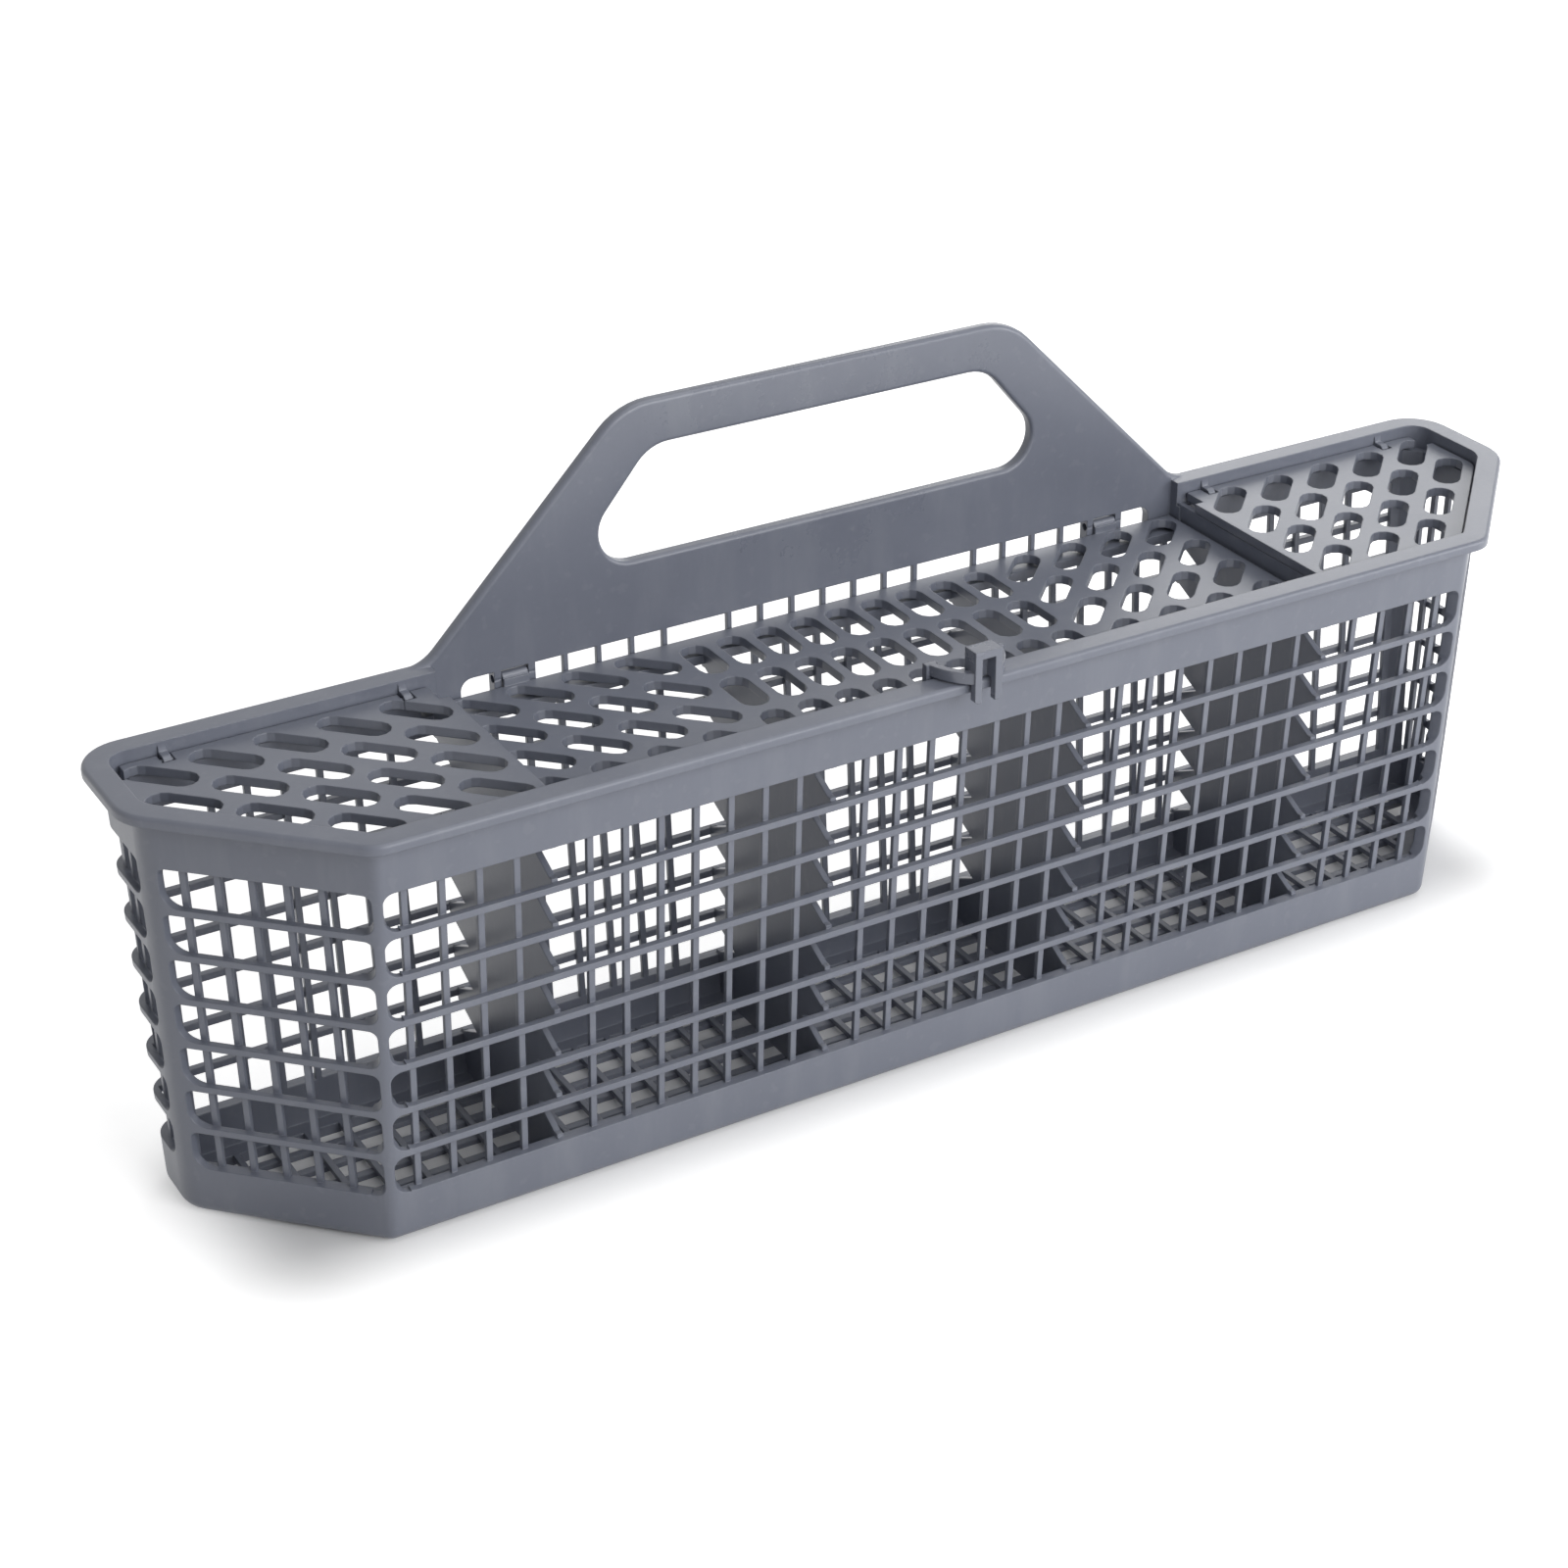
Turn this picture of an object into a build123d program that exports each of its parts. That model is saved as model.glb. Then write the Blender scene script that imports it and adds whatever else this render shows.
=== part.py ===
from build123d import *
import os
from math import cos, radians, sin, sqrt

# Cutlery basket of a dishwasher: a lattice tub with a grip handle, and three slotted hinged lids.
# Millimetres, +Z up, front at -Y, origin under the middle of the whole object.

# Rim
RIM_LENGTH = 500.0
RIM_DEPTH = 97.5
RIM_TOP = 142.0
RIM_THICKNESS = 3.2
RIM_OVERHANG = 5.5
RIM_CHAMFER = 53.5
RIM_EDGE_RADIUS = 1.4

# Walls: rails form the outer layer, upright bars the inner one
SIDE_LEAN = 7.9
END_LEAN = 2.2
CHAMFER_LEAN = 3.8
RAIL_LAYER = 2.2
BAR_LAYER = 1.6
LAYER_BITE = 0.3
FRONT_EDGE_RADIUS = 5.0
END_EDGE_RADIUS = 12.0
BACK_EDGE_RADIUS = 9.0
BACK_CORNER_CUT = 5.0
BASE_RADIUS = 4.5

# Lattice
LATTICE_BOTTOM = 17.5
ROW_COUNT = 7
ROW_HEIGHT = 13.1
RAIL_HEIGHT = 2.2
BAR_PITCH = 11.6
BAR_WIDTH = 2.0
BACK_BAR_PITCH = 11.48
BACK_BAR_CLEAR = 7.0
CHAMFER_BAR_COUNT = 5
CHAMFER_BAR_PITCH = 10.5
END_BAR_COUNT = 2
END_BAR_PITCH = 6.8

# Corner posts, flush with the rails, with rounded corners in the rows beside them
FRONT_POST = 4.8
FRONT_POST_TURN = 22.5
END_POST = 7.6
END_POST_TURN = 67.5
POST_DEPTH = 10.0
CHAMFER_POST_SHARE = 4.5
END_POST_SHARE = 2.5
ROW_LOWER_RADIUS = 5.5
ROW_UPPER_RADIUS = 2.5

# Floor grille: rails below, bars on top
FLOOR_THICKNESS = 3.6
FLOOR_RAIL_PITCH = 10.0
FLOOR_RAIL_WIDTH = 2.6
FLOOR_MARGIN = 5.0

# Dividers, in bar pitches from the middle
INNER_DIVIDER_BARS = 4
OUTER_DIVIDER_BARS = 12
DIVIDER_THICKNESS = 2.0
DIVIDER_NOTCH = 13.5
DIVIDER_BITE = 0.8

# Handle
HANDLE_TOP = 212.0
HANDLE_THICKNESS = 4.7
HANDLE_FOOT = 279.0
HANDLE_CREST = 140.6
HANDLE_CREST_RADIUS = 24.0
HANDLE_FOOT_RADIUS = 13.0
HANDLE_EDGE_RADIUS = 1.8
GRIP_BOTTOM = 160.5
GRIP_TOP = 197.2
GRIP_WIDTH_BOTTOM = 184.0
GRIP_WIDTH_TOP = 122.0
GRIP_LOWER_RADIUS = 11.0
GRIP_UPPER_RADIUS = 14.0
GRIP_EDGE_RADIUS = 1.4

# Window row under the handle
WINDOW_HEIGHT = 9.4
WINDOW_ROW = 257.0
WINDOW_BAR_WIDTH = 1.6
WINDOW_BAR_DEPTH = 1.7
WINDOW_CORNER_RADIUS = 4.0
SHELF_THICKNESS = 3.1
BACK_BLOCK = 292.0
DRAIN_LENGTH = 5.0
DRAIN_HEIGHT = 3.0
DRAIN_SPACING = 283.4

# Lids
LID_THICKNESS = 3.0
LID_GAP = 0.8
LID_REST = 0.3
LEDGE_DROP = 1.2
END_LID_TOP = 138.0
CENTRE_LID_TOP = 129.6
SEAM = 138.0
BACK_NOTCH_WIDTH = 3.4
BACK_NOTCH_LENGTH = 9.0

# Slots in the lids: their round ends are cut in a few flats
SLOT_END_FLATS = 6

# Slots in the end lids
END_SLOT_WIDTH = 9.2
END_SLOT_SPAN = 13.9
END_SLOT_COLUMN_PITCH = 19.84
END_SLOT_ROW_PITCH = 18.67
END_SLOT_INSET = 12.4
END_SLOT_BACK = 12.2
END_SLOT_ROWS = (5, 5, 4, 3)

# Slots in the centre lid
MIDDLE_SLOT_WIDTH = 9.7
MIDDLE_SLOT_LENGTH = 21.5
MIDDLE_SLOT_COLUMNS = 9
MIDDLE_SLOT_COLUMN_PITCH = 13.21
MIDDLE_SLOT_ROWS = 3
MIDDLE_SLOT_ROW_PITCH = 25.23
MIDDLE_SLOT_BACK = 15.3
SIDE_SLOT_WIDTH = 8.8
SIDE_SLOT_SPAN = 13.0
SIDE_SLOT_COLUMNS = 4
SIDE_SLOT_COLUMN_PITCH = 18.6
SIDE_SLOT_ROWS = 4
SIDE_SLOT_ROW_PITCH = 18.94
SIDE_SLOT_START = 70.0
SIDE_SLOT_BACK = 10.4

# End lid hinges: a pin across a notch in the lid, held by an open hook on the back wall
HOOK_INNER = 149.0
HOOK_OUTER = 224.5
HOOK_WIDTH = 2.6
HOOK_RADIUS = 2.3
HOOK_REACH = 2.9
HOOK_MOUTH = 1.9
HOOK_PIP = 4.6
PIN_DIAMETER = 2.2
PIN_CLEARANCE = 0.3
HOOK_NOTCH_SIDE = 0.8
HOOK_NOTCH_FRONT = 0.6

# Centre lid hinges: a barrel between two cheeks in the window row
KNUCKLE_BAR = 9
KNUCKLE_DIAMETER = 3.6
KNUCKLE_HEIGHT = 2.4
KNUCKLE_SETBACK = 1.4
KNUCKLE_SIDE = 0.3
CHEEK_WIDTH = 2.4
CHEEK_DEPTH = 4.0
PEG_DIAMETER = 2.0
PEG_LENGTH = 1.4
ARM_THICKNESS = 1.8

# Latch on the centre lid: a forked post in front of the rim, carried by two curved arms
LATCH_GAP = 0.8
LATCH_THICKNESS = 2.4
LATCH_WIDTH = 9.5
LATCH_PRONG = 2.4
LATCH_BOTTOM = 136.0
LATCH_TOP = 153.0
LATCH_CAP = 2.5
LATCH_DEPTH = 6.0
LATCH_BACK = 1.4
LATCH_PRONG_TAPER = 0.9
LATCH_ARM_SPREAD = 12.0
LATCH_ARM_WIDTH = 2.2
LATCH_ARM_HEIGHT = 3.6
LATCH_ARM_LIFT = 0.5
LATCH_ARM_BOW = 20.0
RISER_LENGTH = 4.0

# Places worked out from the sizes above
LATCH_REACH = LATCH_GAP + LATCH_THICKNESS
RIM_FRONT = LATCH_REACH - (RIM_DEPTH + LATCH_REACH) / 2
RIM_BACK = RIM_FRONT + RIM_DEPTH
WALL = RAIL_LAYER + BAR_LAYER
ROW_PITCH = ROW_HEIGHT + RAIL_HEIGHT
ROW_BOTTOMS = [LATTICE_BOTTOM + row * ROW_PITCH for row in range(ROW_COUNT)]
ROW_MIDDLES = [bottom + ROW_HEIGHT / 2 for bottom in ROW_BOTTOMS]
ROW_CELL = 4 * ROW_LOWER_RADIUS
LATTICE_HEIGHT = ROW_COUNT * ROW_PITCH - RAIL_HEIGHT
LATTICE_MIDDLE = LATTICE_BOTTOM + LATTICE_HEIGHT / 2
LATTICE_TOP = LATTICE_BOTTOM + LATTICE_HEIGHT
RAIL_MIDDLES = [LATTICE_BOTTOM + row * ROW_PITCH - RAIL_HEIGHT / 2 for row in range(ROW_COUNT + 1)]
WINDOW_CUT = BAR_LAYER + LAYER_BITE
TIP_DEPTH = BAR_LAYER + DIVIDER_BITE + LAYER_BITE
TIP_HEIGHT = RAIL_HEIGHT + TIP_DEPTH * ROW_HEIGHT / DIVIDER_NOTCH
MITRE = 2 - sqrt(2)
HANDLE_FRONT = RIM_BACK - HANDLE_THICKNESS
INNER_DIVIDER = INNER_DIVIDER_BARS * BAR_PITCH
OUTER_DIVIDER = OUTER_DIVIDER_BARS * BAR_PITCH
DIVIDERS = (-OUTER_DIVIDER, -INNER_DIVIDER, INNER_DIVIDER, OUTER_DIVIDER)
END_LID_BOTTOM = END_LID_TOP - LID_THICKNESS
CENTRE_LID_BOTTOM = CENTRE_LID_TOP - LID_THICKNESS
END_LEDGE = END_LID_BOTTOM - LEDGE_DROP
CENTRE_LEDGE = CENTRE_LID_BOTTOM - LEDGE_DROP
POCKET_HALF = SEAM - LID_REST
SIDE_SLOPE = SIDE_LEAN / RIM_TOP
END_SLOPE = END_LEAN / RIM_TOP
CHAMFER_SLOPE = (SIDE_LEAN + END_LEAN - CHAMFER_LEAN) / RIM_TOP
CORNER_SLOPE = (SIDE_LEAN + END_LEAN) / RIM_TOP


def wall_limits(z, inset=0.0):
    """Half length, front, back and corner leg of the wall at height z, inset from its outside."""
    drop = (RIM_TOP - z) / RIM_TOP
    half = RIM_LENGTH / 2 - RIM_OVERHANG - END_LEAN * drop - inset
    front = RIM_FRONT + RIM_OVERHANG + SIDE_LEAN * drop + inset
    back = RIM_BACK - RIM_OVERHANG - SIDE_LEAN * drop - inset
    leg = RIM_CHAMFER - (RIM_OVERHANG + inset) * MITRE - CHAMFER_LEAN * drop
    return half, front, back, leg


def rounded_plan(half, front, back, leg, inset):
    """Plan of the basket's outside: a rectangle whose front corners are cut at 45 degrees, rounded."""
    corners = [
        (leg - half, front),
        (half - leg, front),
        (half, front + leg),
        (half, back),
        (-half, back),
        (-half, front + leg),
    ]
    front_radius = FRONT_EDGE_RADIUS - inset
    end_radius = END_EDGE_RADIUS - inset
    back_radius = BACK_EDGE_RADIUS - inset
    radii = [front_radius, front_radius, end_radius, back_radius, back_radius, end_radius]
    with BuildSketch() as outline:
        with BuildLine():
            FilletPolyline(*corners, radius=radii, close=True)
        make_face()
    return outline.sketch


def wall_outside(z, inset=0.0):
    """Rounded outline of the leaning wall at height z, drawn on the ground plane."""
    return rounded_plan(*wall_limits(z, inset), inset)


def wall_planes(inset):
    """Leaning planes of the wall at one inset, each with its origin on the ground, facing outwards."""
    half, front, back, leg = wall_limits(0, inset)
    planes = {
        "front": Plane((0, front, 0), x_dir=(1, 0, 0), z_dir=(0, -1, -SIDE_SLOPE)),
        "back": Plane((0, back, 0), x_dir=(-1, 0, 0), z_dir=(0, 1, -SIDE_SLOPE)),
    }
    for side in (1, -1):
        chamfer_middle = (side * (half - leg / 2), front + leg / 2, 0)
        planes["chamfer", side] = Plane(chamfer_middle, x_dir=(1, side, 0), z_dir=(side, -1, -CHAMFER_SLOPE))
        planes["end", side] = Plane((side * half, 0, 0), x_dir=(0, side, 0), z_dir=(side, 0, -END_SLOPE))
        cut_middle = (side * (half - BACK_CORNER_CUT / 2), back - BACK_CORNER_CUT / 2, 0)
        planes["corner", side] = Plane(cut_middle, x_dir=(-1, side, 0), z_dir=(side, 1, -CORNER_SLOPE))
    return planes


def leaning_core(inset, bottom, top):
    """Solid inside the leaning planes at one inset, between two heights."""
    with BuildPart() as core:
        with Locations((0, 0, bottom)):
            Box(RIM_LENGTH, 2 * RIM_DEPTH, top - bottom, align=(Align.CENTER, Align.CENTER, Align.MIN))
        for plane in wall_planes(inset).values():
            split(bisect_by=plane, keep=Keep.BOTTOM)
    return core.part


def floor_field():
    """Outline of the floor grille, drawn on the ground plane."""
    with BuildSketch() as field:
        add(leaning_core(WALL + FLOOR_MARGIN, 0, FLOOR_THICKNESS).faces().sort_by(Axis.Z)[0])
    return field.sketch


def row_cell():
    """Open row beside a post: its lower corners are rounder than the upper ones."""
    with BuildSketch() as cell:
        with BuildLine():
            FilletPolyline(
                (-ROW_CELL / 2, -ROW_HEIGHT / 2),
                (ROW_CELL / 2, -ROW_HEIGHT / 2),
                (ROW_CELL / 2, ROW_HEIGHT / 2),
                (-ROW_CELL / 2, ROW_HEIGHT / 2),
                radius=[ROW_LOWER_RADIUS, ROW_LOWER_RADIUS, ROW_UPPER_RADIUS, ROW_UPPER_RADIUS],
                close=True,
            )
        make_face()
    return cell.sketch


def lattice(plane, start, stop, bars, dividers=()):
    """Prisms that cut one wall's windows: its open field, less the bars and the dividers' tips."""
    with BuildSketch(plane) as windows:
        with Locations(((start + stop) / 2, LATTICE_MIDDLE)):
            Rectangle(stop - start, LATTICE_HEIGHT)
        with Locations([(bar, LATTICE_MIDDLE) for bar in bars]):
            Rectangle(BAR_WIDTH, LATTICE_HEIGHT, mode=Mode.SUBTRACT)
        with Locations([(divider, rail) for divider in dividers for rail in RAIL_MIDDLES]):
            Rectangle(DIVIDER_THICKNESS, TIP_HEIGHT, mode=Mode.SUBTRACT)
    return extrude(windows.sketch, amount=-WINDOW_CUT, clean=False, mode=Mode.PRIVATE)


def slot(span, width, rotation):
    """Cuts a long slot with rounded ends, each end in a few flats."""
    step = 180 / SLOT_END_FLATS
    angles = [flat * step - 90 for flat in range(SLOT_END_FLATS + 1)]
    right_end = [Vector(span / 2, 0) + Vector(width / 2, 0).rotate(Axis.Z, angle) for angle in angles]
    left_end = [Vector(-point.X, -point.Y) for point in right_end]
    Polygon(*right_end, *left_end, rotation=rotation, mode=Mode.SUBTRACT)


def front_wall_bars(reach):
    """Bars of the front wall at whole pitches, left out where a divider meets the wall."""
    count = int((reach - BAR_WIDTH) // BAR_PITCH)
    bars = [bar * BAR_PITCH for bar in range(-count, count + 1)]
    return [bar for bar in bars if min(abs(bar - divider) for divider in DIVIDERS) > BAR_WIDTH]


def back_wall_bars(reach):
    """Bars of the back wall at half pitches, left out near the dividers."""
    count = int((reach - BAR_WIDTH) // BACK_BAR_PITCH)
    bars = [(bar + 0.5) * BACK_BAR_PITCH for bar in range(-count, count)]
    return [bar for bar in bars if min(abs(bar - divider) for divider in DIVIDERS) > BACK_BAR_CLEAR]


def even_bars(count, pitch):
    """Evenly pitched bars about the middle of a short wall."""
    return [(bar - (count - 1) / 2) * pitch for bar in range(count)]


# Corner posts with flared ends in each row
with BuildPart() as posts:
    for side in (1, -1):
        for width, turn, leg_share in ((FRONT_POST, FRONT_POST_TURN, 0), (END_POST, END_POST_TURN, 1)):
            outward = Vector(side * sin(radians(turn)), -cos(radians(turn)))
            along = Vector(-outward.Y, outward.X)
            rows = []
            for middle in ROW_MIDDLES:
                half, front, back, leg = wall_limits(middle)
                corner = Vector(side * (half - leg * (1 - leg_share)), front + leg * leg_share)
                rows.append((corner.dot(along), middle))
            half, front, back, leg = wall_limits(LATTICE_MIDDLE)
            corner = Vector(side * (half - leg * (1 - leg_share)), front + leg * leg_share)
            with BuildSketch(Plane(outward * corner.dot(outward), x_dir=along, z_dir=outward)):
                with Locations(rows):
                    Rectangle(width + ROW_CELL / 2, ROW_HEIGHT)
                for way in (1, -1):
                    offset = way * (width + ROW_CELL) / 2
                    with Locations([(place + offset, middle) for place, middle in rows]):
                        add(row_cell(), mode=Mode.SUBTRACT)
            extrude(amount=POST_DEPTH, both=True)

# Grooves round the wall between the rails, stopped by the posts
with BuildPart() as grooves:
    for bottom in ROW_BOTTOMS:
        with BuildSketch(Plane.XY.offset(bottom)):
            Rectangle(RIM_LENGTH, 2 * RIM_DEPTH)
    extrude(amount=ROW_HEIGHT)
    add(leaning_core(RAIL_LAYER, 0, RIM_TOP), mode=Mode.SUBTRACT)
    add(posts.part, mode=Mode.SUBTRACT)

# Rim with a rounded lip
with BuildPart() as rim:
    with BuildSketch(Plane.XY.offset(RIM_TOP - RIM_THICKNESS)):
        add(rounded_plan(RIM_LENGTH / 2, RIM_FRONT, RIM_BACK, RIM_CHAMFER, -RIM_OVERHANG))
    extrude(amount=RIM_THICKNESS)
    fillet(rim.edges().group_by(Axis.Z)[-1], RIM_EDGE_RADIUS)

# Handle: an upright plate with slanted sides and a grip opening
plate_plane = Plane.XZ.offset(-RIM_BACK)
with BuildPart() as handle:
    with BuildSketch(plate_plane) as plate:
        plate_bottom = RIM_TOP - RIM_THICKNESS
        foot_reach = HANDLE_FOOT / 2 + HANDLE_FOOT_RADIUS
        with BuildLine():
            Polyline(
                (-foot_reach, plate_bottom),
                (foot_reach, plate_bottom),
                (foot_reach, RIM_TOP),
                (HANDLE_FOOT / 2, RIM_TOP),
                (HANDLE_CREST / 2, HANDLE_TOP),
                (-HANDLE_CREST / 2, HANDLE_TOP),
                (-HANDLE_FOOT / 2, RIM_TOP),
                (-foot_reach, RIM_TOP),
                close=True,
            )
        make_face()
        fillet(plate.vertices().group_by(Axis.Y)[-1], HANDLE_CREST_RADIUS)
        fillet(plate.vertices().group_by(Axis.Y)[1].sort_by(Axis.X)[1:-1], HANDLE_FOOT_RADIUS)
    extrude(amount=HANDLE_THICKNESS)
    plate_edges = handle.faces().filter_by(Axis.Y).edges()
    fillet(plate_edges.filter_by_position(Axis.Z, RIM_TOP + RIM_THICKNESS, HANDLE_TOP), HANDLE_EDGE_RADIUS)
    with BuildSketch(plate_plane) as grip:
        with BuildLine():
            FilletPolyline(
                (-GRIP_WIDTH_BOTTOM / 2, GRIP_BOTTOM),
                (GRIP_WIDTH_BOTTOM / 2, GRIP_BOTTOM),
                (GRIP_WIDTH_TOP / 2, GRIP_TOP),
                (-GRIP_WIDTH_TOP / 2, GRIP_TOP),
                radius=[GRIP_LOWER_RADIUS, GRIP_LOWER_RADIUS, GRIP_UPPER_RADIUS, GRIP_UPPER_RADIUS],
                close=True,
            )
        make_face()
    extrude(amount=HANDLE_THICKNESS, mode=Mode.SUBTRACT)
    plate_faces = handle.faces().filter_by(Axis.Y)
    grip_edges = [edge for face in plate_faces for edge in face.inner_wires().edges()]
    fillet(grip_edges, GRIP_EDGE_RADIUS)


def divider_profile(top):
    """Side view of a divider: solid, with V notches beside the open rows and tips on the rails."""
    front_edge = []
    back_edge = []
    levels = [(FLOOR_THICKNESS / 2, 0.0)]
    for bottom in ROW_BOTTOMS:
        levels += [(bottom, 0.0), (bottom + ROW_HEIGHT / 2, DIVIDER_NOTCH), (bottom + ROW_HEIGHT, 0.0)]
    levels.append((top, 0.0))
    for z, notch in levels:
        half, front, back, leg = wall_limits(z, RAIL_LAYER - DIVIDER_BITE)
        front_edge.append((front + notch, z))
        back_edge.append((back - notch, z))
    return front_edge + back_edge[::-1]


# Windows of each wall, drawn on the leaning plane between the two layers
mid_planes = wall_planes(RAIL_LAYER)
low_half, low_front, low_back, low_leg = wall_limits(LATTICE_BOTTOM, RAIL_LAYER)
top_half, _, _, top_leg = wall_limits(LATTICE_TOP, RAIL_LAYER)
front_reach = top_half - top_leg - FRONT_POST / 2
back_reach = low_half - BACK_EDGE_RADIUS
chamfer_reach = low_leg / sqrt(2)
chamfer_start = FRONT_POST / 2 - chamfer_reach
chamfer_stop = chamfer_reach - CHAMFER_POST_SHARE
end_start = low_front + low_leg + END_POST_SHARE
end_stop = low_back - END_POST_SHARE
end_middle = (end_start + end_stop) / 2
chamfer_bars = even_bars(CHAMFER_BAR_COUNT, CHAMFER_BAR_PITCH)
end_bars = [end_middle + bar for bar in even_bars(END_BAR_COUNT, END_BAR_PITCH)]
wall_windows = [
    lattice(mid_planes["front"], -front_reach, front_reach, front_wall_bars(front_reach), DIVIDERS),
    lattice(mid_planes["back"], -back_reach, back_reach, back_wall_bars(back_reach), DIVIDERS),
    lattice(mid_planes["chamfer", 1], chamfer_start, chamfer_stop, chamfer_bars),
    lattice(mid_planes["chamfer", -1], -chamfer_stop, -chamfer_start, chamfer_bars),
    lattice(mid_planes["end", 1], end_start, end_stop, end_bars),
    lattice(mid_planes["end", -1], -end_stop, -end_start, [-bar for bar in end_bars]),
]

# Floor grille
floor_half, floor_front, floor_back, floor_leg = wall_limits(0, WALL + FLOOR_MARGIN)
floor_rails = int((floor_back - floor_front) // FLOOR_RAIL_PITCH)
floor_bars = 2 * int(floor_half // BAR_PITCH) + 1

# Lid seats, hinge lines and the window row
end_seat_back = wall_limits(END_LEDGE, RAIL_LAYER)[2]
centre_seat_front = wall_limits(CENTRE_LEDGE, RAIL_LAYER)[1]
hook_y = end_seat_back - HOOK_REACH
hook_z = END_LID_TOP - LID_THICKNESS / 2
knuckle_x = (KNUCKLE_BAR + 0.5) * BAR_PITCH
knuckle_y = HANDLE_FRONT + KNUCKLE_SETBACK
knuckle_z = CENTRE_LID_TOP + KNUCKLE_HEIGHT
window_middle = CENTRE_LEDGE + WINDOW_HEIGHT / 2
window_bar_count = int((WINDOW_ROW / 2 - WINDOW_BAR_WIDTH) // BAR_PITCH)

# Fittings inside the tub
with BuildPart() as fittings:
    # Cheeks that carry the pegs of the centre lid
    for side in (1, -1):
        for bar in (KNUCKLE_BAR, KNUCKLE_BAR + 1):
            cheek_plane = Plane.YZ.offset(side * bar * BAR_PITCH - CHEEK_WIDTH / 2)
            with BuildSketch(cheek_plane):
                with Locations((HANDLE_FRONT, window_middle)):
                    Rectangle(CHEEK_DEPTH, WINDOW_HEIGHT, align=(Align.MIN, Align.CENTER))
                with Locations((knuckle_y, knuckle_z)):
                    Circle(PEG_DIAMETER / 2 + PIN_CLEARANCE, mode=Mode.SUBTRACT)
            extrude(amount=CHEEK_WIDTH)
    # Dividers
    for side in (1, -1):
        for place, lid_bottom in ((INNER_DIVIDER, CENTRE_LID_BOTTOM), (OUTER_DIVIDER, END_LID_BOTTOM)):
            with BuildSketch(Plane.YZ.offset(side * place - DIVIDER_THICKNESS / 2)):
                with BuildLine():
                    Polyline(*divider_profile(lid_bottom - LID_REST), close=True)
                make_face()
            extrude(amount=DIVIDER_THICKNESS)
    # Open hooks that hold the pins of the end lids
    for place in (HOOK_INNER, HOOK_OUTER):
        for side in (1, -1):
            with BuildSketch(Plane.YZ.offset(side * place - HOOK_WIDTH / 2)):
                with Locations((hook_y, hook_z)):
                    Circle(HOOK_RADIUS)
                    Rectangle(HOOK_REACH + LAYER_BITE, 2 * HOOK_RADIUS, align=(Align.MIN, Align.CENTER))
                    Polygon(
                        (HOOK_REACH / 2, 0),
                        (HOOK_REACH, HOOK_PIP),
                        (HOOK_REACH + LAYER_BITE, HOOK_PIP),
                        (HOOK_REACH + LAYER_BITE, 0),
                    )
                    Circle(PIN_DIAMETER / 2 + PIN_CLEARANCE, mode=Mode.SUBTRACT)
                    Rectangle(
                        HOOK_RADIUS, HOOK_MOUTH, align=(Align.MAX, Align.CENTER), mode=Mode.SUBTRACT
                    )
            extrude(amount=HOOK_WIDTH)

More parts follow.
